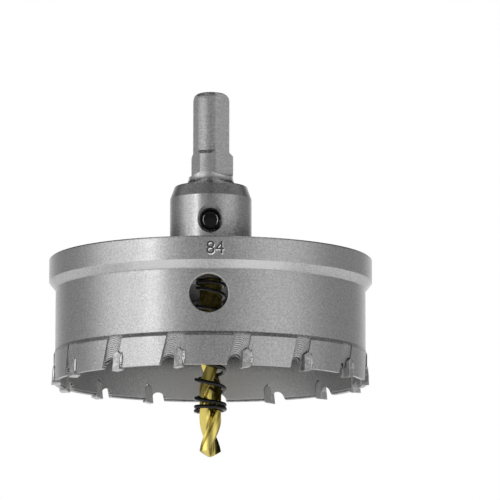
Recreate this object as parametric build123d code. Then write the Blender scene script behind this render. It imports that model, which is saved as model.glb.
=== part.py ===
from build123d import *
import math
import os

# A carbide tipped hole saw, held by its shank. Millimetres and degrees.
# The origin is the centre of the shank's end face. +Z points out of that end along the
# axis, and the saw hangs below it. A place round the axis is given by its azimuth: 0 is
# -Y, the side of the set screw and of the first window, and it grows towards +X.

# Cup: flange, wall and tooth ring, turned from one piece
cutting_diameter = 84.0        # circle cut by the outer corners of the tips
tip_overhang_outside = 0.6     # the tips stand this far proud of the tooth ring
ring_step = 0.4                # the ring's radius, less the wall's
wall_thickness = 1.2
flange_overhang = 1.75         # the flange's radius, less the wall's
flange_height = 6.1
flange_chamfer_height = 2.1    # cone from the flange in to the wall
wall_height = 16.2             # between the two cones
flare_height = 1.0             # cone from the wall out to the ring
ring_height = 7.5
plate_thickness = 5.3
flange_edge_break = 0.3
inner_corner_radius = 1.5
rim_chamfer = 0.6

# Windows through the wall, to push a stuck plug out
window_diameter = 10.0
window_drop = 6.3              # from the flange's cone down to a window's centre
window_chamfer = 0.22
window_azimuths = (0.0, 180.0)

# Gullets, milled ahead of the teeth
tooth_count = 15
first_tooth_azimuth = 11.8     # of a cutting face
gullet_mill_diameter = 4.2
gullet_start_drop = 2.5        # from the flare's top to the mill's centre as it ramps in
gullet_end_rise = 0.1          # its centre above the edge as it comes out inside
gullet_start_lead = 0.1        # its centre ahead of the cutting face as it ramps in
gullet_end_lead = 1.6          # and as it comes out inside
gullet_trough_depth = 0.45     # reached by the shallow ramp
gullet_plunge_height = 0.6     # of the steep ramp from there on
gullet_land_width = 4.5        # flat milled across the ring's step before the ramp
gullet_land_rise = 0.05        # that flat's distance from the axis, less the wall's radius

# Carbide tips
tip_thickness = 2.1
tip_height = 5.0
tip_reach = 0.85               # they stand this far below the ring's edge
tip_overhang_inside = 0.25
tip_hook_angle = 4.0
tip_relief_angle = 10.0
tip_side_taper = 0.3           # each side draws in this much from edge to top
tip_back_taper = 0.12          # and this much from cutting face to back
tip_roof_height = 0.7
seat_roof_gap = 0.45

# Arbor: spigot, hub and shank, turned from one piece
hub_diameter = 21.7
hub_height = 16.3              # straight part
hub_cone_height = 3.4
hub_cone_inset = 1.25
hub_corner_radius = 0.5
hub_top_flat = 0.95            # left between that corner and the shank's root fillet
hub_shoulder_width = 2.85      # what rests on the plate outside the spigot
spigot_clearance = 0.02
shank_length = 25.3
shank_diameter = 9.8
shank_step = 1.0               # the lower shank is this much larger in radius
upper_shank_length = 16.0
shank_end_radius = 2.2
flat_depth = 0.66              # three flats for the chuck's jaws
flat_length = 22.8
first_flat_azimuth = 46.4
flat_mill_radius = 10.0

# Pilot drill
drill_diameter = 5.8
drill_clearance = 0.02
drill_reach = 19.4             # its point stands this far below the ring's edge
drill_grip = 7.4               # its other end stands this far above the set screw's axis
drill_point_angle = 118.0
drill_helix_angle = 28.0
drill_fluted_length = 31.0
drill_runout_length = 8.0
drill_web = 1.5
drill_land_angle = 72.0        # part of the circle that each land takes
drill_lip_azimuth = 88.3       # of a land's front edge at the point
drill_chisel_angle = 125.0     # from a lip to the edge across the web
drill_chisel_length = 0.9
drill_chisel_rake = 17.0       # slope of the two faces that meet in that edge
drill_end_chamfer = 0.4
drill_flat_depth = 0.5
drill_flat_length = 9.0

# Set screw, plain at its thread's pitch diameter
screw_diameter = 5.35
screw_length = 5.8
screw_clearance = 0.02
screw_rise = 9.7               # of its axis above the flange
screw_end_chamfer = 0.5
screw_socket_size = 3.0        # across flats
screw_socket_depth = 2.8
countersink_width = 1.2        # round the hole, at the hub's surface

# Ejector spring, wound left-hand, tight on the drill at its top
spring_wire = 1.05
spring_length = 35.4
spring_flare = 0.45            # its radius grows by this much downwards
spring_clearance = 0.02
spring_seat_gap = 0.05
spring_closed_pitch = 1.1
spring_top_turns = 1.08
spring_active_turns = 6.31
spring_bottom_turns = 1.78
spring_blend_turns = 0.25      # where the pitch changes
spring_start_azimuth = -120.0
points_per_turn = 12

cut_margin = 1.0               # cutters run this far past what they cut

# Radii
ring_radius = cutting_diameter / 2 - tip_overhang_outside
wall_radius = ring_radius - ring_step
inner_radius = wall_radius - wall_thickness
flange_radius = wall_radius + flange_overhang
hub_radius = hub_diameter / 2
spigot_radius = hub_radius - hub_shoulder_width
upper_shank_radius = shank_diameter / 2
lower_shank_radius = upper_shank_radius + shank_step
flat_distance = upper_shank_radius - flat_depth
drill_radius = drill_diameter / 2
drill_flat_distance = drill_radius - drill_flat_depth
screw_hole_radius = screw_diameter / 2 + screw_clearance

# Heights, from the shank's end downwards
hub_top_z = -shank_length
hub_cone_z = hub_top_z - hub_cone_height
flange_top_z = hub_cone_z - hub_height
plate_bottom_z = flange_top_z - plate_thickness
flange_low_z = flange_top_z - flange_height
wall_top_z = flange_low_z - flange_chamfer_height
flare_top_z = wall_top_z - wall_height
ring_top_z = flare_top_z - flare_height
edge_z = ring_top_z - ring_height
tip_edge_z = edge_z - tip_reach
window_z = wall_top_z - window_drop
screw_z = flange_top_z + screw_rise
drill_top_z = screw_z + drill_grip
drill_point_z = edge_z - drill_reach

FROM_BASE = (Align.CENTER, Align.CENTER, Align.MIN)
OUTWARD = Rot(90, 0, 0)        # turns +Z to -Y, the way out at azimuth 0


def tangent(angle):
    return math.tan(math.radians(angle))


def turned(points, corner_radii):
    """Revolves an outline of (radius, z) points, rounding the corners numbered in the dict."""
    radii = [corner_radii.get(index, 0.0) for index in range(len(points))]
    outline = FilletPolyline(*[(r, 0, z) for r, z in points], radius=radii, close=True)
    return revolve(make_face(outline), Axis.Z)


def flat_face(*points):
    return make_face(Polyline(*points, close=True))


def pushed_out(face, length):
    """Extrudes away from the axis at azimuth 0."""
    return extrude(face, amount=length, dir=(0, -1, 0))


def at_tooth(number):
    return Rot(0, 0, first_tooth_azimuth + number * 360 / tooth_count)


def cup_blank():
    bore_radius = spigot_radius + spigot_clearance
    outline = [
        (bore_radius, flange_top_z),
        (flange_radius - flange_edge_break, flange_top_z),
        (flange_radius, flange_top_z - flange_edge_break),
        (flange_radius, flange_low_z),
        (wall_radius, wall_top_z),
        (wall_radius, flare_top_z),
        (ring_radius, ring_top_z),
        (ring_radius, edge_z),
        (inner_radius + rim_chamfer, edge_z),
        (inner_radius, edge_z + rim_chamfer),
        (inner_radius, plate_bottom_z),
        (bore_radius, plate_bottom_z),
    ]
    return turned(outline, {10: inner_corner_radius})


def with_windows(cup):
    wall_middle = (inner_radius + wall_radius) / 2
    sagitta = inner_radius - math.sqrt(inner_radius**2 - (window_diameter / 2) ** 2)
    bar = Cylinder(window_diameter / 2, wall_thickness + 2 * (sagitta + cut_margin))
    for azimuth in window_azimuths:
        cup -= Rot(0, 0, azimuth) * Pos(0, -wall_middle, window_z) * OUTWARD * bar
    rims = []
    for edge in cup.edges():
        place = edge.position_at(0.5)
        on_outside = math.hypot(place.X, place.Y) > wall_middle
        if on_outside and edge.geom_type not in (GeomType.CIRCLE, GeomType.LINE):
            rims.append(edge)
    return chamfer(rims, window_chamfer)


def gullet_cutter():
    """What the mill removes ahead of a tooth whose cutting face is at azimuth 0.

    The mill points at the axis. It first clears the ring's step. Then it ramps down and a
    little inwards, and plunges through to the inside at the end. That leaves a trough that
    ends in a round notch with a steep roof.
    """
    radius = gullet_mill_diameter / 2
    land_distance = wall_radius + gullet_land_rise
    start = Vector(-gullet_start_lead, -land_distance, flare_top_z - gullet_start_drop)
    through = Vector(-gullet_end_lead, -inner_radius, edge_z + gullet_end_rise)
    share = 1 - gullet_plunge_height / (start.Z - through.Z)
    knee = start + (through - start) * share
    knee.Y = gullet_trough_depth - land_distance
    beyond = through + (through - knee) * 2
    path = through - start
    down = Vector(path.X, 0, path.Z).normalized()
    across = Vector(-down.Z, 0, down.X)
    side = across * radius
    outside = ring_radius + cut_margin + beyond.Y
    cutters = []
    for here, there in ((start, knee), (knee, beyond)):
        mill = Plane(origin=here, x_dir=(1, 0, 0), z_dir=(0, -1, 0)) * Circle(radius)
        ramp = there - here
        trough = extrude(mill, amount=ramp.length, dir=ramp.normalized())
        above_trough = flat_face(here + side, here - side, there - side, there + side)
        cutters += [trough, pushed_out(mill, outside), pushed_out(above_trough, outside)]
    land_side = across * (gullet_land_width / 2)
    land_top = start - down * (gullet_start_drop + flare_height)
    land_end = start + down * (ring_height + flare_height)
    land = flat_face(
        land_top + land_side, land_top - land_side, land_end - land_side, land_end + land_side
    )
    return [*cutters, pushed_out(land, outside)]


def tip_profile(foot_z, heel_z, roof_gap):
    """A tip's outline seen from outside, cutting face at x = 0, leaned by the hook angle."""
    shoulder_z = tip_edge_z + tip_height - tip_roof_height
    roof_z = tip_edge_z + tip_height + roof_gap
    corners = [
        (0, foot_z),
        (tip_thickness, heel_z),
        (tip_thickness, shoulder_z),
        (tip_thickness / 2, roof_z),
        (0, shoulder_z),
    ]
    hook = tangent(tip_hook_angle)
    return flat_face(*[(x + (z - tip_edge_z) * hook, 0, z) for x, z in corners])


def seat_cutter():
    """The slot through the ring that a tip is brazed into. It runs out below the edge."""
    below = tip_edge_z - tip_reach
    profile = tip_profile(below, below, seat_roof_gap)
    inside = inner_radius - tip_overhang_inside - cut_margin
    outside = ring_radius + cut_margin
    return pushed_out(Pos(0, -inside, 0) * profile, outside - inside)


def carbide_tip():
    """The tip at azimuth 0. It is widest at its cutting edge, with clearance all round."""
    outer = cutting_diameter / 2
    inner = inner_radius - tip_overhang_inside
    heel_z = tip_edge_z + tip_thickness * tangent(tip_relief_angle)
    deepest = tip_thickness + tip_height * tangent(tip_hook_angle)

    def across_at(depth):
        draw = tip_back_taper * depth / tip_thickness
        top_z = tip_edge_z + tip_height
        return flat_face(
            (depth, -outer + draw, tip_edge_z),
            (depth, -inner - draw, tip_edge_z),
            (depth, -inner - draw - tip_side_taper, top_z),
            (depth, -outer + draw + tip_side_taper, top_z),
        )

    blank = loft([across_at(0), across_at(deepest)])
    profile = tip_profile(tip_edge_z, heel_z, 0)
    inside = inner - cut_margin
    return blank & pushed_out(Pos(0, -inside, 0) * profile, outer + cut_margin - inside)


def make_cup():
    cup = with_windows(cup_blank())
    cutters = [*gullet_cutter(), seat_cutter()]
    return cup - [at_tooth(number) * cutter for number in range(tooth_count) for cutter in cutters]


def flat_cutter():
    """A face mill's path along the shank at azimuth 0, down to the mill's round stop."""
    centre_z = flat_mill_radius - flat_length
    past_end = cut_margin - centre_z
    depth = lower_shank_radius
    upward = (Align.CENTER, Align.MIN, Align.MIN)
    mill = Cylinder(flat_mill_radius, depth, align=FROM_BASE)
    path = Box(2 * flat_mill_radius, past_end, depth, align=upward)
    return Pos(0, -flat_distance, centre_z) * OUTWARD * (mill + path)


def make_arbor():
    hub_top_radius = hub_radius - hub_cone_inset
    cone_angle = math.degrees(math.atan(hub_cone_height / hub_cone_inset))
    corner_run = hub_corner_radius * tangent(cone_angle / 2)
    root_radius = hub_top_radius - corner_run - hub_top_flat - lower_shank_radius
    outline = [
        (0, 0),
        (upper_shank_radius, 0),
        (upper_shank_radius, -upper_shank_length),
        (lower_shank_radius, -upper_shank_length - shank_step),
        (lower_shank_radius, hub_top_z),
        (hub_top_radius, hub_top_z),
        (hub_radius, hub_cone_z),
        (hub_radius, flange_top_z),
        (spigot_radius, flange_top_z),
        (spigot_radius, plate_bottom_z),
        (0, plate_bottom_z),
    ]
    arbor = turned(outline, {1: shank_end_radius, 4: root_radius, 5: hub_corner_radius})
    bore = Cylinder(drill_radius + drill_clearance, drill_top_z - plate_bottom_z, align=FROM_BASE)
    arbor -= Pos(0, 0, plate_bottom_z) * bore
    for index in range(3):
        arbor -= Rot(0, 0, first_flat_azimuth + index * 120) * flat_cutter()
    mouth_radius = screw_hole_radius + countersink_width
    hole = Cylinder(screw_hole_radius, hub_radius + cut_margin, align=FROM_BASE)
    cone_height = mouth_radius + cut_margin
    countersink = Cone(0, cone_height, cone_height, align=FROM_BASE)
    cross_hole = hole + Pos(0, 0, hub_radius - mouth_radius) * countersink
    return arbor - Pos(0, 0, screw_z) * OUTWARD * cross_hole


def make_set_screw():
    radius = screw_diameter / 2
    outline = [
        (0, 0),
        (radius - screw_end_chamfer, 0),
        (radius, screw_end_chamfer),
        (radius, screw_length - screw_end_chamfer),
        (radius - screw_end_chamfer, screw_length),
        (0, screw_length),
    ]
    hexagon = RegularPolygon(screw_socket_size / 2, 6, major_radius=False)
    socket = extrude(hexagon, amount=screw_socket_depth)
    screw = turned(outline, {}) - Pos(0, 0, screw_length - screw_socket_depth) * socket
    return Pos(0, -drill_flat_distance, screw_z) * OUTWARD * screw


def flute_section():
    """The drill's section through its flutes: two lands joined by a web, hollow on both sides."""
    half_land = math.radians(drill_land_angle / 2)
    x = drill_radius * math.cos(half_land)
    y = drill_radius * math.sin(half_land)
    edges = [
        ThreePointArc((x, -y), (drill_radius, 0), (x, y)),
        ThreePointArc((x, y), (0, drill_web / 2), (-x, y)),
        ThreePointArc((-x, y), (-drill_radius, 0), (-x, -y)),
        ThreePointArc((-x, -y), (0, -drill_web / 2), (x, -y)),
    ]
    return make_face(Wire(edges)).face()


def make_pilot_drill():
    """Made standing on its point at z = 0. The flutes run out in a cone up to the plain shank."""
    length = drill_top_z - drill_point_z
    lead = math.pi * drill_diameter / tangent(drill_helix_angle)
    runout_z = drill_fluted_length - drill_runout_length
    point_slope = 1 / tangent(drill_point_angle / 2)
    chisel_slope = tangent(drill_chisel_rake)
    chisel_drop = point_slope * drill_chisel_length / 2
    twist = 360 / lead
    blank_length = drill_fluted_length + cut_margin
    section_angle = drill_lip_azimuth + drill_land_angle / 2 - 90 - cut_margin * twist
    section = Pos(0, 0, -cut_margin) * Rot(0, 0, section_angle) * flute_section()
    fluted = Solid.extrude_linear_with_rotation(
        section, (0, 0, -cut_margin), (0, 0, blank_length), blank_length * twist
    )
    shank = turned(
        [
            (0, runout_z),
            (drill_web / 2, runout_z),
            (drill_radius, drill_fluted_length),
            (drill_radius, length - drill_end_chamfer),
            (drill_radius - drill_end_chamfer, length),
            (0, length),
        ],
        {},
    )
    wide = drill_diameter
    low = wide * point_slope - chisel_drop
    ground_point = turned([(0, -chisel_drop), (wide, low), (wide, length), (0, length)], {})
    side = wide * chisel_slope
    roof = flat_face((0, 0, 0), (wide, 0, side), (wide, 0, length), (-wide, 0, length), (-wide, 0, side))
    chisel = Rot(0, 0, drill_lip_azimuth + drill_chisel_angle) * extrude(roof, amount=wide, both=True)
    drill = (fluted + shank) & ground_point & chisel
    screw_height = screw_z - drill_point_z
    flat = Box(drill_diameter, cut_margin, drill_flat_length)
    flat_y = -drill_flat_distance - cut_margin / 2
    drill -= Pos(0, flat_y, screw_height) * flat
    return Pos(0, 0, drill_point_z) * drill


def eased(turns):
    """Zero before zero turns, then it grows by 1 a turn, with a soft start."""
    shifted = turns + spring_blend_turns / 2
    if shifted <= 0:
        return 0.0
    if shifted < spring_blend_turns:
        return shifted**2 / (2 * spring_blend_turns)
    return turns


def make_ejector_spring():
    total_turns = spring_top_turns + spring_active_turns + spring_bottom_turns
    travel = spring_length - spring_wire
    extra_pitch = (travel - total_turns * spring_closed_pitch) / spring_active_turns
    active_end = spring_top_turns + spring_active_turns
    top_z = plate_bottom_z - spring_seat_gap - spring_wire / 2
    top_radius = drill_radius + spring_clearance + spring_wire / 2
    steps = round(total_turns * points_per_turn)
    points = []
    for step in range(steps + 1):
        share = step / steps
        turns = total_turns * share
        opened = eased(turns - spring_top_turns) - eased(turns - active_end)
        drop = turns * spring_closed_pitch + opened * extra_pitch
        radius = top_radius + spring_flare * share
        azimuth = math.radians(spring_start_azimuth + 360 * turns)
        points.append((radius * math.sin(azimuth), -radius * math.cos(azimuth), top_z - drop))
    path = Spline(*points)
    wire_section = Plane(origin=path @ 0, z_dir=path % 0) * Circle(spring_wire / 2)
    return sweep(wire_section, path=path, is_frenet=True)


pieces = {
    "cup": make_cup(),
    "arbor": make_arbor(),
    "set_screw": make_set_screw(),
    "pilot_drill": make_pilot_drill(),
    "ejector_spring": make_ejector_spring(),
}
for number in range(tooth_count):
    pieces[f"carbide_tip_{number + 1:02d}"] = at_tooth(number) * carbide_tip()

os.makedirs("parts", exist_ok=True)
for name, piece in pieces.items():
    export_step(piece, os.path.join("parts", name + ".step"))
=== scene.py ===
import math
import bmesh
import bpy
from bpy.props import FloatProperty, FloatVectorProperty, PointerProperty, StringProperty
from mathutils import Matrix, Vector, noise


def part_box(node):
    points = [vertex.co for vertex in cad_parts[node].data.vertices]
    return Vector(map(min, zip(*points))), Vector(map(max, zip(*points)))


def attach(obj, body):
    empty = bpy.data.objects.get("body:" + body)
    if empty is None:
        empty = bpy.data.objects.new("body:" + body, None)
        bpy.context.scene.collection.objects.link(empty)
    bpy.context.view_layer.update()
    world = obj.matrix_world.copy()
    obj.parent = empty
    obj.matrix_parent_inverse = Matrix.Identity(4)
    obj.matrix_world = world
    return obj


bl_info = {
    "name": "Hole Saw",
    "version": (1, 0, 0),
    "blender": (4, 5, 0),
    "location": "View3D > Sidebar > Hole Saw",
    "description": "Gives a carbide tipped hole saw its finishes and sets it in a small studio",
    "category": "Object",
}

# Shapes are in metres, and the patterns of the materials in millimetres. A place round the axis
# is an azimuth: 0 is -Y, the side of the set screw, and it grows towards +X.
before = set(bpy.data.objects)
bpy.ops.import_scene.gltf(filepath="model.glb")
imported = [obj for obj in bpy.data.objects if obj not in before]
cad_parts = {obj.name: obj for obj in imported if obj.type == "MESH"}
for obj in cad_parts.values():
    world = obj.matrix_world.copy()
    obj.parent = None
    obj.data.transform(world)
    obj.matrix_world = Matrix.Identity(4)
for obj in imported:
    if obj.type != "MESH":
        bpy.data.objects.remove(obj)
MM = 0.001
BODY = "root"
ORIGIN = Vector((0, 0, 0))
SLACK = 0.01 * MM


# Measures read from the imported pieces

def points(node):
    """The places of a node's vertices."""
    return [vertex.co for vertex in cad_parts[node].data.vertices]


def reach(node, low, high):
    """A node's largest distance from the axis between two heights."""
    return max(point.xy.length for point in points(node) if low <= point.z <= high)


def heights_at(node, radius, above=-math.inf):
    """The lowest and highest place above a height where a node's surface is this far from the axis."""
    found = [p.z for p in points(node) if p.z > above and abs(p.xy.length - radius) < SLACK]
    return min(found), max(found)


cup_low, cup_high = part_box("cup")
screw_low, screw_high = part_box("set_screw")
edge_z = cup_low.z
flange_top_z = cup_high.z
tip_edge_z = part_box("carbide_tip_01")[0].z
flange_radius = cup_high.x
hub_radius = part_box("arbor")[1].x
ring_radius = reach("cup", edge_z - MM, edge_z + MM)
bore_radius = min(point.xy.length for point in points("cup") if point.z < edge_z + MM)
plate_low_z = min(point.z for point in points("cup") if point.xy.length < bore_radius * 0.9)
flange_low_z = heights_at("cup", flange_radius)[0]
ring_top_z = heights_at("cup", ring_radius)[1]
mid_wall_z = (ring_top_z + flange_low_z) / 2
wall_radius = reach("cup", mid_wall_z - 3 * MM, mid_wall_z)
flare_height = heights_at("cup", wall_radius, ring_top_z + 0.1 * MM)[0] - ring_top_z
flare_slope = (ring_radius - wall_radius) / flare_height
hub_top_z = max(point.z for point in points("arbor") if point.xy.length > hub_radius * 0.8)
screw_z = (screw_low.z + screw_high.z) / 2
screw_radius = (screw_high.z - screw_low.z) / 2
tooth_nodes = sorted(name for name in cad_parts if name.startswith("carbide_tip"))


# Settings

class SawTeethSettings(bpy.types.PropertyGroup):
    first_azimuth: FloatProperty(
        name="First Tooth", description="Azimuth of the first cutting face, in degrees", default=11.8
    )
    hook_angle: FloatProperty(
        name="Hook Angle", description="Lean of the tips, in degrees", default=4.0
    )
    tip_thickness: FloatProperty(
        name="Tip Thickness", description="From a tip's cutting face to its back",
        default=2.1 * MM, unit="LENGTH",
    )
    mill_radius: FloatProperty(
        name="Mill Radius", description="Radius of the mill that cut the gullets",
        default=2.1 * MM, unit="LENGTH",
    )
    mill_feed: FloatProperty(
        name="Mill Feed", description="Distance between the mill's marks in a gullet",
        default=0.56 * MM, unit="LENGTH",
    )
    gullet_lean: FloatProperty(
        name="Gullet Lean", description="Angle between a gullet and the axis, in degrees", default=15.3
    )


class SawSteelSettings(bpy.types.PropertyGroup):
    cup_colour: FloatVectorProperty(
        name="Cup", description="Colour of the cup's steel",
        subtype="COLOR", size=3, min=0, max=1, default=(0.60, 0.60, 0.60),
    )
    arbor_colour: FloatVectorProperty(
        name="Arbor", description="Colour of the arbor's steel",
        subtype="COLOR", size=3, min=0, max=1, default=(0.54, 0.54, 0.54),
    )
    carbide_colour: FloatVectorProperty(
        name="Carbide", description="Colour of the ground carbide",
        subtype="COLOR", size=3, min=0, max=1, default=(0.50, 0.50, 0.50),
    )
    braze_colour: FloatVectorProperty(
        name="Braze", description="Colour of the braze metal",
        subtype="COLOR", size=3, min=0, max=1, default=(0.95, 0.95, 0.94),
    )
    gold_colour: FloatVectorProperty(
        name="Drill Coating", description="Colour of the drill's coating",
        subtype="COLOR", size=3, min=0, max=1, default=(1.0, 0.82, 0.24),
    )
    black_colour: FloatVectorProperty(
        name="Black Oxide", description="Colour of the spring and the set screw",
        subtype="COLOR", size=3, min=0, max=1, default=(0.010, 0.010, 0.011),
    )
    ring_pitch: FloatProperty(
        name="Turning Pitch", description="Width of the coarser rings left by turning",
        default=0.9 * MM, unit="LENGTH",
    )


class SawDriveSettings(bpy.types.PropertyGroup):
    flat_azimuth: FloatProperty(
        name="First Flat", description="Azimuth of the first of the shank's three flats, in degrees",
        default=46.4,
    )
    flat_distance: FloatProperty(
        name="Flat Distance", description="From the axis to a flat", default=4.24 * MM, unit="LENGTH"
    )


class SawMarkSettings(bpy.types.PropertyGroup):
    number: StringProperty(name="Number", description="Plain size number on the flange", default="84")
    height: FloatProperty(
        name="Height", description="Height of the digits", default=3.4 * MM, unit="LENGTH"
    )
    depth: FloatProperty(
        name="Relief", description="How far the digits stand out", default=0.02 * MM, unit="LENGTH"
    )
    azimuth: FloatProperty(name="Azimuth", description="Place of the number, in degrees", default=2.2)


class SawStudioSettings(bpy.types.PropertyGroup):
    distance: FloatProperty(
        name="Distance", description="From the tooth ring's edge to the camera",
        default=1.1111, unit="LENGTH",
    )
    azimuth: FloatProperty(name="Azimuth", description="Place of the camera, in degrees", default=0.7)
    look_up: FloatProperty(
        name="Look Up", description="How far the camera looks up at the edge, in degrees", default=7.016
    )
    aim_right: FloatProperty(
        name="Aim Right", description="From the axis to the frame's centre, in degrees", default=0.535
    )
    aim_up: FloatProperty(
        name="Aim Up", description="From the edge to the frame's centre, in degrees", default=1.824
    )
    roll: FloatProperty(name="Roll", description="Turn of the camera, in degrees", default=0.121)
    focal_length: FloatProperty(
        name="Focal Length", description="Focal length in millimetres on a 36 mm sensor", default=302.98
    )
    floor_z: FloatProperty(
        name="Floor", description="Height of the floor", default=-0.26, unit="LENGTH"
    )
    tent_radius: FloatProperty(
        name="Tent Radius", description="Radius of the light tent", default=1.6, unit="LENGTH"
    )
    tent_top: FloatProperty(
        name="Tent Top", description="Height of the light tent's roof", default=0.7, unit="LENGTH"
    )
    key_level: FloatProperty(
        name="Key Panel", description="Brightness of the tent's left panel", default=1.0
    )
    fill_level: FloatProperty(
        name="Fill Panel", description="Brightness of the tent's right panel", default=0.55
    )
    back_level: FloatProperty(
        name="Back Panel", description="Brightness of the tent behind the saw", default=0.95
    )
    side_level: FloatProperty(
        name="Tent", description="Brightness of the tent between its panels", default=0.30
    )
    roof_level: FloatProperty(
        name="Roof", description="Brightness of the tent's roof", default=0.14
    )
    strip_level: FloatProperty(
        name="Roof Strips", description="Brightness of the two strips in the roof", default=3.0
    )
    lamp_power: FloatProperty(
        name="Lamp", description="Power of the small soft lamp", default=0.5, unit="POWER"
    )
    lamp_size: FloatProperty(
        name="Lamp Size", description="Width of the soft lamp", default=0.07, unit="LENGTH"
    )
    lamp_place: FloatVectorProperty(
        name="Lamp Place", description="Where the soft lamp hangs",
        subtype="TRANSLATION", size=3, default=(-0.75, -0.85, 0.25),
    )


# Materials

class Flow:
    """A value in a material or in the world. Arithmetic on it adds Math nodes."""

    def __init__(self, nodes, socket):
        self.nodes = nodes
        self.socket = socket

    def math(self, operation, *others):
        settings = {"operation": operation}
        values = dict(enumerate((self, *others)))
        return self.nodes.node("ShaderNodeMath", settings, values)

    def __add__(self, other):
        return self.math("ADD", other)

    __radd__ = __add__

    def __mul__(self, other):
        return self.math("MULTIPLY", other)

    __rmul__ = __mul__

    def __sub__(self, other):
        return self.math("SUBTRACT", other)

    def __rsub__(self, other):
        return self * -1 + other

    def __truediv__(self, other):
        return self.math("DIVIDE", other)

    def __pow__(self, other):
        return self.math("POWER", other)

    def __abs__(self):
        return self.math("ABSOLUTE")

    def sine(self):
        return self.math("SINE")

    def least(self, other):
        return self.math("MINIMUM", other)

    def most(self, other):
        return self.math("MAXIMUM", other)

    def wrapped(self, half):
        """The value brought between -half and half by whole turns."""
        return self.math("WRAP", half, -half)

    def rises(self, low, high):
        """0 below low, 1 above high, with a soft step between."""
        settings = {"interpolation_type": "SMOOTHSTEP"}
        values = {"Value": self, "From Min": low, "From Max": high}
        return self.nodes.node("ShaderNodeMapRange", settings, values)

    def falls(self, low, high):
        """1 below low, 0 above high, with a soft step between."""
        return 1 - self.rises(low, high)


class Nodes:
    """The nodes of a material or of the world."""

    def __init__(self, tree):
        self.tree = tree
        self.tree.nodes.clear()

    def node(self, kind, settings=None, values=None, output=0):
        """Adds a node: its settings first, then its sockets' values or links."""
        made = self.tree.nodes.new(kind)
        for key, value in (settings or {}).items():
            setattr(made, key, value)
        for key, value in (values or {}).items():
            if isinstance(value, Flow):
                self.tree.links.new(value.socket, made.inputs[key])
            else:
                made.inputs[key].default_value = value
        return Flow(self, made.outputs[output])

    def end(self, kind, shader):
        """Links the last shader to the tree's output."""
        out = self.tree.nodes.new(kind)
        self.tree.links.new(shader.socket, out.inputs["Surface"])


class Finish(Nodes):
    """A material under construction."""

    def __init__(self, name):
        self.material = bpy.data.materials.new(name)
        self.material.use_nodes = True
        super().__init__(self.material.node_tree)

    def place(self):
        """Object coordinates in millimetres: x, y, z and the distance from the axis."""
        here = self.node("ShaderNodeTexCoord", output="Object")
        scaled = self.node("ShaderNodeVectorMath", {"operation": "SCALE"}, {0: here, "Scale": 1 / MM})
        split = self.node("ShaderNodeSeparateXYZ", None, {0: scaled})
        x, y, z = [Flow(self, socket) for socket in split.socket.node.outputs]
        radius = (x * x + y * y) ** 0.5
        return scaled, x, y, z, radius

    def vector(self, x, y, z):
        return self.node("ShaderNodeCombineXYZ", None, {"X": x, "Y": y, "Z": z})

    def speckle(self, vector, scale, detail=2.0, roughness=0.5):
        values = {"Vector": vector, "Scale": scale, "Detail": detail, "Roughness": roughness}
        return self.node("ShaderNodeTexNoise", {"noise_dimensions": "3D"}, values)

    def blend(self, factor, first, second):
        """A colour between two others."""
        values = {"Factor": factor, 6: first, 7: second}
        return self.node("ShaderNodeMix", {"data_type": "RGBA"}, values, output=2)

    def bump(self, height, normal=None):
        """A normal bent by a height in metres, starting from another normal if one is given."""
        values = {"Height": height, "Distance": 1.0}
        if normal is not None:
            values["Normal"] = normal
        return self.node("ShaderNodeBump", None, values)

    def occlusion(self, distance):
        """1 in the open, less in corners nearer than distance."""
        settings = {"samples": 6, "only_local": False}
        return self.node("ShaderNodeAmbientOcclusion", settings, {"Distance": distance}, output="AO")

    def edges(self, width):
        """The normal of slightly rounded edges, and a mask that is 1 on them."""
        rounded = self.node("ShaderNodeBevel", {"samples": 6}, {"Radius": width})
        facing = self.node("ShaderNodeNewGeometry", output="Normal")
        values = {0: rounded, 1: facing}
        same = self.node("ShaderNodeVectorMath", {"operation": "DOT_PRODUCT"}, values, "Value")
        return rounded, same.falls(0.90, 0.985)

    def tilt(self):
        """How far a face looks up: 1 on a level top, 0 on a wall and -1 underneath."""
        facing = self.node("ShaderNodeTexCoord", output="Normal")
        return self.node("ShaderNodeSeparateXYZ", None, {0: facing}, output="Z")

    def principled(self, values):
        return self.node("ShaderNodeBsdfPrincipled", None, values)

    def close(self, shader):
        self.end("ShaderNodeOutputMaterial", shader)
        return self.material


def opaque(colour, level=1.0):
    """A colour with its alpha, made lighter or darker."""
    return (*[min(1.0, channel * level) for channel in colour], 1.0)


def turned_rings(finish, z, radius, azimuth_turns, pitch_mm):
    """Rings that run round the axis, as turning leaves them, drifting a little on the way round."""
    fine = finish.speckle(finish.vector(radius, z, azimuth_turns * 0.5), 2.2 / pitch_mm, 3.0, 0.6)
    broad = finish.speckle(finish.vector(radius, z, azimuth_turns * 0.3), 0.5 / pitch_mm, 1.0)
    return fine, broad


def azimuth_of(finish, x, y):
    """Degrees round the axis."""
    return x.math("ARCTAN2", y * -1) * (180 / math.pi)


def mill_marks(teeth, azimuth, z, wobble):
    """The arcs that the mill's end leaves in a gullet, as a wave from -1 to 1."""
    phase = (azimuth - teeth.first_azimuth).wrapped(180 / len(tooth_nodes))
    side = phase * (math.pi / 180 * ring_radius / MM)
    lean = math.radians(teeth.gullet_lean)
    drop = z * -1 + ring_top_z / MM
    along = drop * math.cos(lean) - side * math.sin(lean)
    across = side * math.cos(lean) + drop * math.sin(lean)
    arc_bend = 0.75
    bow = across * across * (arc_bend * MM / teeth.mill_radius)
    return ((along - bow) * (2 * math.pi * MM / teeth.mill_feed) + wobble).sine()


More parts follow.
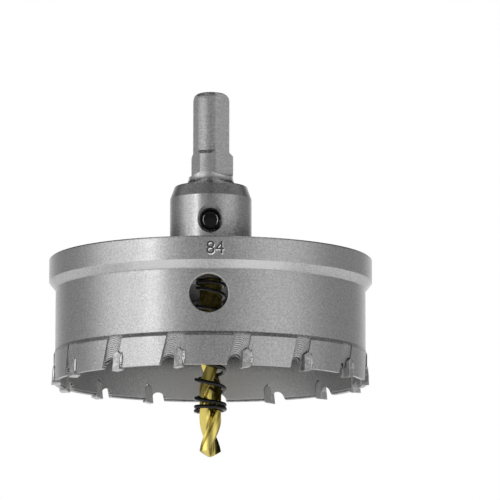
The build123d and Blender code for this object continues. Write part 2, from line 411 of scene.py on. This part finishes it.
def cup_steel(steel, teeth):
    """Turned steel with a sandy satin skin. The gullets show the arcs of the mill's end. Its colour
    holds painted light and shade: light and dark bands on the chamfer, the flare, the flange's top
    edge and the inside, darker gullet roofs and corners, and edges brighter partly from wear and
    partly as painted highlight."""
    edge, plate_low, ring_top = edge_z / MM, plate_low_z / MM, ring_top_z / MM
    flange_low, flange_top = flange_low_z / MM, flange_top_z / MM
    bore, wall, ring, flange = bore_radius / MM, wall_radius / MM, ring_radius / MM, flange_radius / MM
    chamfer_foot = flange_low - 2.0
    bright_x, bright_reach = 12.5, 13.0
    deep_low, deep_high = edge + 7, edge + 14
    light_middle, dark_side = 10.0, 36.0

    finish = Finish("turned_cup_steel")
    here, x, y, z, radius = finish.place()
    azimuth = azimuth_of(finish, x, y)
    fine, broad = turned_rings(finish, z, radius, azimuth / 360, steel.ring_pitch / MM)
    grain = finish.speckle(here, 2.4, 3.0, 0.7)
    stain = finish.speckle(here, 0.12, 3.0)
    marks = mill_marks(teeth, azimuth, z, (grain - 0.5) * 2.6)

    below_ring = radius.falls(ring - 0.12, ring - 0.03)
    bored = radius.falls(bore + 0.02, bore + 0.08) * z.falls(plate_low + 0.05, plate_low + 0.15)
    milled = below_ring * (1 - bored) * z.falls(ring_top + 0.2, ring_top + 0.6)
    milled = milled * z.rises(edge + 0.05, edge + 0.25)
    # Painted shade: milled faces that look down, the gullets' roofs, are darker.
    roof = milled * finish.tilt().falls(-0.45, -0.10)
    # Painted highlight: the chamfer under the flange is lighter, most in two bands either side of the middle.
    chamfer = radius.rises(wall + 0.05, wall + 0.20) * z.rises(chamfer_foot - 0.2, chamfer_foot)
    chamfer = chamfer * z.falls(flange_low - 0.1, flange_low + 0.1)
    bright_side = abs(abs(x) - bright_x).falls(0, bright_reach)
    # Painted shade: the bore darkens higher up, towards the plate.
    deep = bored * z.rises(deep_low, deep_high)
    # Painted shade: a dark band on the flare above the tooth ring.
    up_flare = z - ring_top
    flare = abs(radius - (ring - up_flare * flare_slope)).falls(0.12, 0.28)
    flare = flare * up_flare.rises(-0.1, 0.1) * up_flare.falls(flare_height / MM, flare_height / MM + 0.25)
    # Painted shade: a dark line along the flange's top outer edge.
    rim = z.rises(flange_top - 0.45, flange_top - 0.20) * radius.rises(flange - 0.45, flange - 0.30)

    # Rounded edges are brighter, partly wear and partly painted highlight; corners get painted shade.
    rounded, wear_glint = finish.edges(0.14 * MM)
    corner = finish.occlusion(1.1 * MM).rises(0.35, 0.97)
    wear_glint = wear_glint * finish.occlusion(0.3 * MM).rises(0.75, 0.95)
    wear_glint = wear_glint * (1 - flare) * z.falls(flange_top - 0.5, flange_top - 0.3)
    skin = fine * 0.5e-6 + broad * 2.0e-6 + grain * 1.2e-5
    height = skin * (1 - milled) + (marks * 3.4e-5 + grain * 2.0e-5) * milled
    shade = 0.62 + (grain - 0.5) * 0.95 + (fine - 0.5) * 0.08 + (stain - 0.5) * 0.08
    shade = shade + milled * marks * 0.26 - roof * 0.45 - deep * 0.57 - flare * 0.30
    shade = shade + chamfer * (0.06 + bright_side * 0.40) - rim * 0.50
    # Painted light and shade inside: lighter in the middle, darker towards both sides.
    shade = shade + (bored - deep) * (0.42 - abs(x).rises(light_middle, dark_side) * 0.46)
    lit = finish.blend(shade, opaque(steel.cup_colour, 0.03), opaque(steel.cup_colour, 1.50))
    corner_shaded = finish.blend(corner, opaque(steel.cup_colour, 0.16), lit)
    colour = finish.blend(wear_glint * 0.8, corner_shaded, opaque(steel.cup_colour, 1.6))
    rough = 0.35 + (broad - 0.5) * 0.08 + (grain - 0.5) * 0.10 + bored * 0.10 + wear_glint * 0.15
    return finish.close(finish.principled({
        "Base Color": colour, "Metallic": 1 - wear_glint * 0.6, "Roughness": rough,
        "Anisotropic": 0.35, "Anisotropic Rotation": 0.25, "Normal": finish.bump(height, rounded),
    }))


def arbor_steel(steel, drive):
    """Turned steel with cutter lines across the shank's flats. Its colour holds painted light and
    shade: pale on the round shank and the right flat, and dark on its steps and other sloping faces
    that look up, in the screw's hole, at the sides of the hub's foot and in corners. Edges are a
    little brighter, partly wear and partly painted highlight."""
    flats = 3
    distance = drive.flat_distance / MM
    hub_top, flange_top = hub_top_z / MM, flange_top_z / MM
    foot_gap_x = -2.5
    hole_depth = -5.0, -4.0

    finish = Finish("turned_arbor_steel")
    here, x, y, z, radius = finish.place()
    azimuth = azimuth_of(finish, x, y)
    fine, broad = turned_rings(finish, z, radius, azimuth / 360, steel.ring_pitch / MM)
    grain = finish.speckle(here, 2.2, 3.0, 0.7)

    hub = z.falls(hub_top + 0.5, hub_top + 4.5)
    turn = (azimuth - drive.flat_azimuth).wrapped(180 / flats) * (math.pi / 180)
    from_axis = radius * turn.math("COSINE")
    flat = from_axis.falls(distance + 0.03, distance + 0.10) * (1 - hub)
    cutter_lines = finish.speckle(finish.vector(turn * radius * 0.25, z * 3.2, 0.0), 1.0, 3.0, 0.6)
    tilt = finish.tilt()
    # Painted shade on sloping faces that look up, such as the shank's steps and its rounded end.
    upward = tilt.rises(0.20, 0.60) * tilt.falls(0.93, 0.99)
    # Painted shade at the sides of the hub's foot.
    foot = z.falls(flange_top + 3.0, flange_top + 13.0) * abs(x - foot_gap_x).rises(1.0, 8.0)
    # Painted light: the round shank and the right flat are lighter.
    turned = (1 - flat) * (1 - hub)
    right_flat = flat * x.rises(1.0, 1.6)
    # Painted shade in the screw's hole.
    from_screw = (x * x + (z - screw_z / MM) ** 2) ** 0.5
    hole = from_screw.falls(screw_radius / MM + 0.05, screw_radius / MM + 0.30) * y.falls(*hole_depth)

    # Edges are a little brighter, partly wear and partly painted highlight; corners get painted shade.
    rounded, wear_glint = finish.edges(0.16 * MM)
    corner = finish.occlusion(1.5 * MM).rises(0.35, 0.97)
    wear_glint = wear_glint * finish.occlusion(0.3 * MM).rises(0.75, 0.95)
    height = fine * 0.6e-6 + broad * 1.2e-6 + grain * 1.0e-5 + cutter_lines * flat * 1.2e-5
    shade = 0.58 + (grain - 0.5) * 0.80 + (fine - 0.5) * 0.10 - hub * 0.07 + turned * 0.42
    shade = shade + flat * (cutter_lines - 0.5) * 0.45 - flat * 0.06 + right_flat * 0.20
    shade = shade - hole * 0.55 - foot * 0.36 - upward * (0.42 + turned * 0.26)
    lit = finish.blend(shade, opaque(steel.arbor_colour, 0.03), opaque(steel.arbor_colour, 1.75))
    corner_shaded = finish.blend(corner, opaque(steel.arbor_colour, 0.14), lit)
    colour = finish.blend(wear_glint * 0.2, corner_shaded, opaque(steel.arbor_colour, 1.7))
    rough = 0.32 + (broad - 0.5) * 0.06 + (grain - 0.5) * 0.10 + flat * 0.18 + turned * 0.10
    return finish.close(finish.principled({
        "Base Color": colour, "Metallic": 1.0, "Roughness": rough,
        "Anisotropic": 0.3, "Anisotropic Rotation": 0.25, "Normal": finish.bump(height, rounded),
    }))


def ground_carbide(steel):
    """Sintered carbide with fine grinding lines and smears of braze. Its colour holds painted light
    and shade: pale faces underneath and towards the axis, bright edges, partly wear and partly
    painted highlight, and darker corners."""
    finish = Finish("ground_carbide")
    here, x, y, z, radius = finish.place()
    lines = finish.speckle(finish.vector(radius * 0.4, azimuth_of(finish, x, y) * 0.3, z * 6), 1.2, 2.0)
    grain = finish.speckle(here, 2.4, 3.0, 0.7)
    smear = finish.speckle(here, 0.9, 3.0, 0.6).rises(0.50, 0.60)
    # Painted light: the faces towards the axis are lighter, less metallic and free of the corner shade.
    inner = radius.falls(bore_radius / MM + 0.1, bore_radius / MM + 0.4)
    # Edges are bright, partly wear and partly painted highlight; faces underneath get a painted highlight;
    # corners get painted shade.
    rounded, wear_glint = finish.edges(0.15 * MM)
    wear_glint = wear_glint.most(finish.tilt().falls(-0.8, -0.5) * 0.9)
    corner = finish.occlusion(0.5 * MM).rises(0.3, 0.9).most(inner * 0.85)
    shade = 0.70 + (lines - 0.5) * 0.25 + (grain - 0.5) * 0.8 + inner * 0.6
    lit = finish.blend(shade, opaque(steel.carbide_colour, 0.1), opaque(steel.carbide_colour, 1.40))
    smeared = finish.blend(smear * 0.6, lit, opaque(steel.braze_colour, 0.9))
    corner_shaded = finish.blend(corner, opaque(steel.carbide_colour, 0.12), smeared)
    colour = finish.blend(wear_glint * 0.9, corner_shaded, opaque(steel.braze_colour))
    height = lines * 1.2e-6 + grain * 1.2e-5 + smear * 2.0e-5
    rough = 0.42 + (grain - 0.5) * 0.1 + wear_glint * 0.2 + inner * 0.2
    return finish.close(finish.principled({
        "Base Color": colour, "Metallic": 1 - wear_glint.most(inner * 0.7) * 0.6, "Roughness": rough,
        "Normal": finish.bump(height, rounded),
    }))


def braze_metal(steel):
    """Bright braze that has run and set, with small dark flux spots."""
    finish = Finish("braze_metal")
    here = finish.place()[0]
    lumps = finish.speckle(here, 1.6, 3.0, 0.6)
    spots = lumps.falls(0.40, 0.46)
    # Painted shade in corners.
    corner = finish.occlusion(0.4 * MM).rises(0.2, 0.8)
    bright = finish.blend(spots, opaque(steel.braze_colour), opaque(steel.braze_colour, 0.10))
    colour = finish.blend(corner, opaque(steel.braze_colour, 0.10), bright)
    rough = 0.26 + spots * 0.3
    return finish.close(finish.principled({
        "Base Color": colour, "Metallic": 1.0, "Roughness": rough,
        "Normal": finish.bump(lumps * 6.0e-5),
    }))


def gold_coating(steel):
    """Ground steel under a gold coloured coating. Its colour holds painted reflections in light and
    dark bands that follow the flutes, painted shade in the flutes and corners, and near white edges,
    partly wear and partly painted highlight.
    """
    flute_twist = 10.5
    core_radius, flute_radius = 1.9, 2.7
    streak_scale = 2.4
    edge_glint_colour = (1.0, 0.95, 0.70, 1.0)
    finish = Finish("gold_coating")
    here, x, y, z, radius = finish.place()
    rings = finish.speckle(finish.vector(radius * 2, z * 3, 0.0), 2.0, 2.0)
    cloud = finish.speckle(here, 0.9, 3.0, 0.6)
    # Edges turn near white, partly wear and partly painted highlight; corners get painted shade.
    rounded, wear_glint = finish.edges(0.12 * MM)
    corner = finish.occlusion(2.0 * MM).rises(0.15, 0.80)
    in_flute = radius.falls(core_radius, flute_radius)
    # Painted reflection: light and dark bands that wind along the flutes, darker deeper in the flutes.
    across_flute = (azimuth_of(finish, x, y) - z * flute_twist) * (math.pi / 180)
    side = across_flute.sine() * streak_scale
    front = across_flute.math("COSINE") * streak_scale
    streak = finish.speckle(finish.vector(side, front, z * 0.10), 1.0, 2.0)
    tone = (0.34 + (streak - 0.5) * 5.0 + (cloud - 0.5) * 1.0 + in_flute * 0.10).least(1.0).most(0.0)
    # Colours of the dark painted reflection bands and of the painted corner shade.
    dark_band = tuple(a * b for a, b in zip(steel.gold_colour, (0.36, 0.34, 0.16)))
    shaded = tuple(a * b for a, b in zip(steel.gold_colour, (0.34, 0.32, 0.16)))
    lit = finish.blend(tone, opaque(steel.gold_colour), opaque(dark_band))
    corner_shaded = finish.blend(corner, opaque(shaded), lit)
    colour = finish.blend(wear_glint * 0.8, corner_shaded, edge_glint_colour)
    rough = 0.13 + (rings - 0.5) * 0.12 + in_flute * 0.03
    return finish.close(finish.principled({
        "Base Color": colour, "Metallic": 1.0, "Roughness": rough,
        "Normal": finish.bump(rings * 2.0e-6 + cloud * 8.0e-6, rounded),
    }))


def black_oxide(steel):
    """Oiled black oxide: a fine gloss over near black steel."""
    finish = Finish("black_oxide")
    here = finish.place()[0]
    cloud = finish.speckle(here, 0.8, 3.0, 0.6)
    grain = finish.speckle(here, 6.0, 2.0)
    colour = finish.blend(cloud, opaque(steel.black_colour, 0.5), opaque(steel.black_colour, 1.6))
    rough = 0.12 + (grain - 0.5) * 0.08 + (cloud - 0.5) * 0.08
    return finish.close(finish.principled({
        "Base Color": colour, "Metallic": 0.0, "Roughness": rough, "IOR": 1.46,
        "Normal": finish.bump(grain * 1.0e-6),
    }))


def glinting_rim(steel):
    """Black oxide with bright steel at two places, left and right of the socket, as a painted highlight."""
    finish = Finish("glinting_rim")
    here, x, _, _, _ = finish.place()
    patches = finish.speckle(here, 1.5, 2.0)
    glint = (abs(x) + patches * 0.4).rises(1.62, 1.80)
    colour = finish.blend(glint, opaque(steel.black_colour), opaque(steel.braze_colour))
    return finish.close(finish.principled({
        "Base Color": colour, "Metallic": glint, "Roughness": 0.3 - glint * 0.1,
        "Normal": finish.bump(patches * 2.0e-6),
    }))


def etched_mark(steel):
    """The dark steel of the number's digits."""
    finish = Finish("etched_mark")
    here = finish.place()[0]
    grain = finish.speckle(here, 2.4, 3.0, 0.7)
    colour = finish.blend(grain, opaque(steel.cup_colour, 0.08), opaque(steel.cup_colour, 0.42))
    return finish.close(finish.principled({
        "Base Color": colour, "Metallic": 1.0, "Roughness": 0.45, "Normal": finish.bump(grain * 8.0e-6),
    }))


def mark_edge_highlight(steel):
    """A painted highlight along the lower edges of the digits: a bright copy of the steel, whose bump
    leans towards -X.
    """
    finish = Finish("mark_edge_highlight")
    here, x, _, _, _ = finish.place()
    grain = finish.speckle(here, 2.4, 3.0, 0.7)
    colour = finish.blend(grain, opaque(steel.cup_colour, 1.3), opaque(steel.cup_colour, 1.66))
    lean = x * (0.42 * MM)
    return finish.close(finish.principled({
        "Base Color": colour, "Metallic": 1.0, "Roughness": 0.4, "Normal": finish.bump(lean + grain * 4.0e-6),
    }))


def wear(node, material):
    """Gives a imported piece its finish."""
    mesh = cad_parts[node].data
    if not mesh.materials:
        raise RuntimeError(f"{node} has no material slot")
    for index in range(len(mesh.materials)):
        mesh.materials[index] = material


def placed(name, shape, material):
    """Makes an object of a bmesh that is in its place."""
    if not shape.faces:
        raise RuntimeError(f"{name} has no faces")
    mesh = bpy.data.meshes.new(name)
    shape.to_mesh(mesh)
    shape.free()
    mesh.materials.append(material)
    made = bpy.data.objects.new(name, mesh)
    bpy.context.scene.collection.objects.link(made)
    return made


def new_piece(name, shape, material):
    """Adds a piece that rides on the saw."""
    piece = placed(name, shape, material)
    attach(piece, BODY)


# Pieces

class SawCup(bpy.types.Operator):
    """Finishes the cup as turned steel with milled gullets"""
    bl_idname = "hole_saw.cup"
    bl_label = "Cup"

    def execute(self, context):
        wear("cup", cup_steel(context.scene.saw_steel, context.scene.saw_teeth))
        return {"FINISHED"}


class SawArbor(bpy.types.Operator):
    """Finishes the arbor and cuts the thread that shows above the set screw"""
    bl_idname = "hole_saw.arbor"
    bl_label = "Arbor"

    pitch: FloatProperty(name="Pitch", description="Thread pitch", default=1.0 * MM, unit="LENGTH")
    thread_depth: FloatProperty(
        name="Thread Depth", description="How far the thread stands out of the hole's wall",
        default=0.19 * MM, unit="LENGTH",
    )
    turns: FloatProperty(name="Turns", description="Turns of thread that show", default=2.0)
    setback: FloatProperty(
        name="Setback", description="From the hub's outside to the first turn",
        default=1.1 * MM, unit="LENGTH",
    )

    def execute(self, context):
        material = arbor_steel(context.scene.saw_steel, context.scene.saw_drive)
        wear("arbor", material)
        foot_in_wall = 0.03 * MM
        wall = screw_radius + foot_in_wall
        half_foot = self.pitch * 0.42
        shape = bmesh.new()
        corners = [(wall, -half_foot), (wall - self.thread_depth, 0), (wall, half_foot)]
        ring = [shape.verts.new((r, t, 0)) for r, t in corners]
        face = shape.faces.new(ring)
        steps_per_turn = 32
        bmesh.ops.spin(
            shape, geom=[face], cent=ORIGIN, axis=(0, 1, 0), dvec=(0, self.pitch / steps_per_turn, 0),
            angle=2 * math.pi * self.turns, steps=round(steps_per_turn * self.turns), use_duplicate=False,
        )
        first_turn_y = half_foot - (hub_radius - self.setback)
        bmesh.ops.translate(shape, verts=shape.verts, vec=(0, first_turn_y, screw_z))
        bmesh.ops.recalc_face_normals(shape, faces=shape.faces)
        new_piece("screw_hole_thread", shape, material)
        return {"FINISHED"}


class SawSetScrew(bpy.types.Operator):
    """Finishes the set screw in black oxide"""
    bl_idname = "hole_saw.set_screw"
    bl_label = "Set Screw"

    rim_radius: FloatProperty(
        name="Rim Radius", description="Radius of the worn rim round the socket", default=1.95 * MM,
        unit="LENGTH",
    )
    rim_width: FloatProperty(
        name="Rim Width", description="Width of the worn rim", default=0.22 * MM, unit="LENGTH"
    )

    def execute(self, context):
        steel = context.scene.saw_steel
        wear("set_screw", black_oxide(steel))
        # A ring round the socket, bright steel at its left and right as a painted highlight.
        rim = bmesh.new()
        section = bmesh.ops.create_circle(rim, segments=10, radius=self.rim_width / 2)["verts"]
        quarter_turn = Matrix.Rotation(math.pi / 2, 3, "X")
        bmesh.ops.translate(rim, verts=section, vec=(self.rim_radius, 0, 0))
        bmesh.ops.rotate(rim, cent=ORIGIN, verts=section, matrix=quarter_turn)
        bmesh.ops.spin(
            rim, geom=list(rim.edges), cent=ORIGIN, axis=(0, 0, 1), angle=2 * math.pi, steps=48,
            use_merge=True, use_duplicate=False,
        )
        bmesh.ops.remove_doubles(rim, verts=rim.verts, dist=0.002 * MM)
        bmesh.ops.rotate(rim, cent=ORIGIN, verts=rim.verts, matrix=quarter_turn)
        bmesh.ops.translate(rim, verts=rim.verts, vec=(0, screw_low.y, screw_z))
        bmesh.ops.recalc_face_normals(rim, faces=rim.faces)
        for face in rim.faces:
            face.smooth = True
        new_piece("screw_socket_rim", rim, glinting_rim(steel))
        return {"FINISHED"}


class SawPilotDrill(bpy.types.Operator):
    """Finishes the pilot drill with its gold coloured coating"""
    bl_idname = "hole_saw.pilot_drill"
    bl_label = "Pilot Drill"

    def execute(self, context):
        wear("pilot_drill", gold_coating(context.scene.saw_steel))
        return {"FINISHED"}


class SawEjectorSpring(bpy.types.Operator):
    """Finishes the ejector spring in black oxide"""
    bl_idname = "hole_saw.ejector_spring"
    bl_label = "Ejector Spring"

    def execute(self, context):
        wear("ejector_spring", black_oxide(context.scene.saw_steel))
        return {"FINISHED"}


class SawCarbideTips(bpy.types.Operator):
    """Finishes the tips as ground carbide"""
    bl_idname = "hole_saw.carbide_tips"
    bl_label = "Carbide Tips"

    def execute(self, context):
        material = ground_carbide(context.scene.saw_steel)
        for node in tooth_nodes:
            wear(node, material)
        return {"FINISHED"}


class SawBraze(bpy.types.Operator):
    """Runs a bead of braze down the back of each tip"""
    bl_idname = "hole_saw.braze"
    bl_label = "Braze"

    length: FloatProperty(name="Length", description="Length of a bead", default=3.9 * MM, unit="LENGTH")
    width: FloatProperty(name="Width", description="Width of a bead", default=0.80 * MM, unit="LENGTH")

    def bead(self, teeth, number):
        """A lumpy bead behind the tip whose cutting face is at azimuth 0."""
        shape = bmesh.new()
        bmesh.ops.create_uvsphere(shape, u_segments=12, v_segments=10, radius=0.5)
        bmesh.ops.scale(shape, vec=(self.width, self.width * 0.9, self.length), verts=shape.verts)
        lump_size = 0.55 * MM
        own_lumps = Vector((number * 7.3, 0, 0))
        for vertex in shape.verts:
            low = 0.5 - vertex.co.z / self.length
            lump = noise.noise(vertex.co / lump_size + own_lumps)
            vertex.co.x *= 0.55 + 0.75 * low + 0.35 * lump
            vertex.co.y *= 0.60 + 0.50 * low + 0.35 * lump
        lean = math.tan(math.radians(teeth.hook_angle))
        above_edge, out_of_ring = 0.1 * MM, 0.03 * MM
        middle_z = edge_z + self.length * 0.5 + above_edge
        middle_x = teeth.tip_thickness + self.width * 0.28 + (middle_z - tip_edge_z) * lean
        leaned = Matrix.Rotation(math.atan(lean), 3, "Y")
        bmesh.ops.rotate(shape, cent=ORIGIN, verts=shape.verts, matrix=leaned)
        bmesh.ops.translate(shape, verts=shape.verts, vec=(middle_x, -ring_radius - out_of_ring, middle_z))
        return shape

    def execute(self, context):
        teeth = context.scene.saw_teeth
        material = braze_metal(context.scene.saw_steel)
        for number in range(len(tooth_nodes)):
            shape = self.bead(teeth, number)
            azimuth = math.radians(teeth.first_azimuth + number * 360 / len(tooth_nodes))
            turn = Matrix.Rotation(azimuth, 3, "Z")
            bmesh.ops.rotate(shape, cent=ORIGIN, verts=shape.verts, matrix=turn)
            for face in shape.faces:
                face.smooth = True
            new_piece(f"braze_bead_{number + 1:02d}", shape, material)
        return {"FINISHED"}


class SawSizeMark(bpy.types.Operator):
    """Puts a plain size number on the flange"""
    bl_idname = "hole_saw.size_mark"
    bl_label = "Size Mark"

    def execute(self, context):
        mark = context.scene.saw_mark
        steel = context.scene.saw_steel
        font_size = mark.height * 1.4
        bevel = 0.02 * MM
        edge_highlight_shift = (0.12 * MM, -0.20 * MM, -0.6 * mark.depth)
        text = bpy.data.curves.new("size_number", "FONT")
        text.body = mark.number
        text.align_x = "CENTER"
        text.align_y = "CENTER"
        text.size = font_size
        text.extrude = mark.depth
        text.bevel_depth = bevel
        holder = bpy.data.objects.new("size_number", text)
        context.scene.collection.objects.link(holder)
        flat = bpy.data.meshes.new_from_object(holder.evaluated_get(context.evaluated_depsgraph_get()))
        bpy.data.objects.remove(holder)
        shape = bmesh.new()
        shape.from_mesh(flat)
        bmesh.ops.remove_doubles(shape, verts=shape.verts, dist=0.001 * MM)
        half_width = max(abs(v.co.x) for v in shape.verts)
        cuts = 12
        for index in range(1, cuts):
            x = half_width * (2 * index / cuts - 1)
            everything = [*shape.verts, *shape.edges, *shape.faces]
            bmesh.ops.bisect_plane(shape, geom=everything, plane_co=(x, 0, 0), plane_no=(1, 0, 0))
        # A bright copy of the digits, shifted down, sideways and a little inwards, as a painted highlight on
        # their lower edges.
        edge_highlight = shape.copy()
        bmesh.ops.translate(edge_highlight, verts=edge_highlight.verts, vec=edge_highlight_shift)
        self.bend(shape, mark)
        self.bend(edge_highlight, mark)
        new_piece("size_mark", shape, etched_mark(steel))
        new_piece("size_mark_edge_highlight", edge_highlight, mark_edge_highlight(steel))
        return {"FINISHED"}

    def bend(self, shape, mark):
        """Lays flat digits round the flange, a little below its middle."""
        below_middle = 0.2 * MM
        middle_z = (flange_top_z + flange_low_z) / 2 - below_middle
        middle = math.radians(mark.azimuth)
        for vertex in shape.verts:
            azimuth = middle + vertex.co.x / flange_radius
            radius = flange_radius + vertex.co.z
            z = middle_z + vertex.co.y
            vertex.co = Vector((radius * math.sin(azimuth), -radius * math.cos(azimuth), z))


# Studio

def seen_by_eye(nodes):
    """1 for rays from the camera, and for what metal or glass shows of the background."""
    outputs = nodes.node("ShaderNodeLightPath").socket.node.outputs
    straight = Flow(nodes, outputs["Is Camera Ray"])
    mirrored = Flow(nodes, outputs["Is Glossy Ray"])
    through = Flow(nodes, outputs["Is Transmission Ray"])
    return straight.most(mirrored).most(through)


def floor_paint():
    """Pale paint that keeps the saw's shadow. It is seen from above only."""
    glow_share = 0.35
    finish = Finish("pale_floor")
    paint = finish.node("ShaderNodeBsdfDiffuse", None, {"Color": (0.9, 0.9, 0.9, 1)})
    glow = finish.node("ShaderNodeEmission", None, {"Color": (1, 1, 1, 1), "Strength": 1.0})
    values = {0: seen_by_eye(finish) * glow_share, 1: paint, 2: glow}
    pale = finish.node("ShaderNodeMixShader", None, values)
    clear = finish.node("ShaderNodeBsdfTransparent")
    below = finish.node("ShaderNodeNewGeometry", output="Backfacing")
    return finish.close(finish.node("ShaderNodeMixShader", None, {0: below, 1: pale, 2: clear}))


def tent_cloth(studio):
    """The tent's wall: bright panels at the left, right and back, with dim cloth between."""
    finish = Finish("tent_cloth")
    _, x, y, _, _ = finish.place()
    azimuth = azimuth_of(finish, x, y)
    level = studio.side_level
    panels = ((-58, 50, studio.key_level), (50, 48, studio.fill_level), (180, 48, studio.back_level))
    for middle, half_width, brightness in panels:
        away = abs((azimuth - middle).wrapped(180.0))
        level = level + away.falls(0, half_width) * brightness
    return glowing(finish, level)


def roof_cloth(studio):
    """The tent's roof: dim cloth, a little brighter over the saw, with a bright strip each side."""
    left_x, right_x, half_width = -0.22, 0.20, 0.19
    over_saw = 0.25
    finish = Finish("roof_cloth")
    _, x, y, _, _ = finish.place()
    side, along = x * MM, y * MM
    strips = abs(side - left_x).falls(0, half_width) + abs(side - right_x).falls(0, half_width)
    length = along.rises(-0.4, -0.1) * along.falls(0.3, 0.7)
    return glowing(finish, studio.roof_level + (strips * studio.strip_level + over_saw) * length)


def glowing(finish, level):
    """Cloth that glows white, at a level of up to 4."""
    full = 4.0
    colour = finish.blend(level * (1 / full), (0, 0, 0, 1), (1, 1, 1, 1))
    return finish.close(finish.node("ShaderNodeEmission", None, {"Color": colour, "Strength": full}))


def stage_piece(name, shape, material, shown):
    """Adds a part of the stage, which the camera sees or doesn't."""
    piece = placed(name, shape, material)
    piece.visible_camera = shown


class SawStudio(bpy.types.Operator):
    """Sets up the floor, the light tent, the lamp, the white background and the camera"""
    bl_idname = "hole_saw.studio"
    bl_label = "Studio"

    def floor(self, studio):
        shape = bmesh.new()
        bmesh.ops.create_circle(shape, cap_ends=True, segments=64, radius=studio.tent_radius * 2.5)
        bmesh.ops.translate(shape, verts=shape.verts, vec=(0, 0, studio.floor_z))
        stage_piece("floor", shape, floor_paint(), True)

    def tent(self, studio):
        shape = bmesh.new()
        made = bmesh.ops.create_circle(shape, segments=96, radius=studio.tent_radius)
        edges = list({edge for vertex in made["verts"] for edge in vertex.link_edges})
        raised = bmesh.ops.extrude_edge_only(shape, edges=edges)["geom"]
        top = [item for item in raised if isinstance(item, bmesh.types.BMVert)]
        bmesh.ops.translate(shape, verts=shape.verts, vec=(0, 0, studio.floor_z))
        bmesh.ops.translate(shape, verts=top, vec=(0, 0, studio.tent_top - studio.floor_z))
        stage_piece("tent", shape, tent_cloth(studio), False)
        roof = bmesh.new()
        bmesh.ops.create_circle(roof, cap_ends=True, segments=96, radius=studio.tent_radius)
        bmesh.ops.translate(roof, verts=roof.verts, vec=(0, 0, studio.tent_top))
        stage_piece("roof", roof, roof_cloth(studio), False)

    def lamp(self, studio):
        light = bpy.data.lights.new("soft_lamp", "AREA")
        light.shape = "DISK"
        light.size = studio.lamp_size
        light.energy = studio.lamp_power
        lamp = bpy.data.objects.new("soft_lamp", light)
        lamp.location = studio.lamp_place
        aim = Vector((0, 0, (edge_z + flange_top_z) / 2)) - lamp.location
        lamp.rotation_mode = "QUATERNION"
        lamp.rotation_quaternion = aim.to_track_quat("-Z", "Y")
        bpy.context.scene.collection.objects.link(lamp)

    def background(self):
        world = bpy.data.worlds.new("white_background")
        world.use_nodes = True
        nodes = Nodes(world.node_tree)
        values = {"Value": seen_by_eye(nodes), "To Min": 0.5, "To Max": 1.0}
        level = nodes.node("ShaderNodeMapRange", None, values)
        white = nodes.node("ShaderNodeBackground", None, {"Color": (1, 1, 1, 1), "Strength": level})
        nodes.end("ShaderNodeOutputWorld", white)
        bpy.context.scene.world = world

    def camera(self, studio):
        azimuth = math.radians(studio.azimuth)
        rise = math.radians(studio.look_up)
        level = math.cos(rise)
        ahead = Vector((-math.sin(azimuth) * level, math.cos(azimuth) * level, math.sin(rise)))
        right = Vector((math.cos(azimuth), math.sin(azimuth), 0))
        above = right.cross(ahead)
        target = Vector((0, 0, edge_z))
        place = target - ahead * studio.distance
        yaw = math.radians(studio.aim_right)
        pitch = math.radians(studio.aim_up)
        roll = math.radians(studio.roll)
        level_aim = ahead * math.cos(yaw) + right * math.sin(yaw)
        aim = level_aim * math.cos(pitch) + above * math.sin(pitch)
        flat_right = right * math.cos(yaw) - ahead * math.sin(yaw)
        upright = flat_right.cross(aim)
        rolled_right = flat_right * math.cos(roll) + upright * math.sin(roll)
        rolled_up = rolled_right.cross(aim)
        turn = Matrix((rolled_right, rolled_up, -aim)).transposed()
        data = bpy.data.cameras.new("camera")
        data.sensor_width = 36
        data.lens = studio.focal_length
        data.clip_start = 0.01
        data.clip_end = 20
        camera = bpy.data.objects.new("camera", data)
        camera.matrix_world = Matrix.Translation(place) @ turn.to_4x4()
        bpy.context.scene.collection.objects.link(camera)
        bpy.context.scene.camera = camera

    def execute(self, context):
        studio = context.scene.saw_studio
        self.floor(studio)
        self.tent(studio)
        self.lamp(studio)
        self.background()
        self.camera(studio)
        context.scene.view_settings.view_transform = "Standard"
        return {"FINISHED"}


class SawPanel(bpy.types.Panel):
    """Lists the saw's settings and steps"""
    bl_idname = "VIEW3D_PT_hole_saw"
    bl_label = "Hole Saw"
    bl_space_type = "VIEW_3D"
    bl_region_type = "UI"
    bl_category = "Hole Saw"

    def draw(self, context):
        scene = context.scene
        for title, group in (
            ("Teeth", scene.saw_teeth), ("Steel", scene.saw_steel), ("Shank", scene.saw_drive),
            ("Mark", scene.saw_mark), ("Studio", scene.saw_studio),
        ):
            box = self.layout.box()
            box.label(text=title)
            for name in group.__annotations__:
                box.prop(group, name)
        for step in STEPS:
            self.layout.operator(step.bl_idname)


STEPS = (
    SawCup, SawArbor, SawSetScrew, SawPilotDrill, SawEjectorSpring, SawCarbideTips,
    SawBraze, SawSizeMark, SawStudio,
)
SETTINGS = {
    "saw_teeth": SawTeethSettings,
    "saw_steel": SawSteelSettings,
    "saw_drive": SawDriveSettings,
    "saw_mark": SawMarkSettings,
    "saw_studio": SawStudioSettings,
}


def register():
    for group in SETTINGS.values():
        bpy.utils.register_class(group)
    for name, group in SETTINGS.items():
        setattr(bpy.types.Scene, name, PointerProperty(type=group))
    for step in STEPS:
        bpy.utils.register_class(step)
    bpy.utils.register_class(SawPanel)


def unregister():
    bpy.utils.unregister_class(SawPanel)
    for step in reversed(STEPS):
        bpy.utils.unregister_class(step)
    for name in SETTINGS:
        delattr(bpy.types.Scene, name)
    for group in SETTINGS.values():
        bpy.utils.unregister_class(group)


def main():
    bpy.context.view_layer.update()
    register()
    bpy.ops.hole_saw.cup()
    bpy.ops.hole_saw.arbor()
    bpy.ops.hole_saw.set_screw()
    bpy.ops.hole_saw.pilot_drill()
    bpy.ops.hole_saw.ejector_spring()
    bpy.ops.hole_saw.carbide_tips()
    bpy.ops.hole_saw.braze()
    bpy.ops.hole_saw.size_mark()
    bpy.ops.hole_saw.studio()


if __name__ == "__main__":
    main()
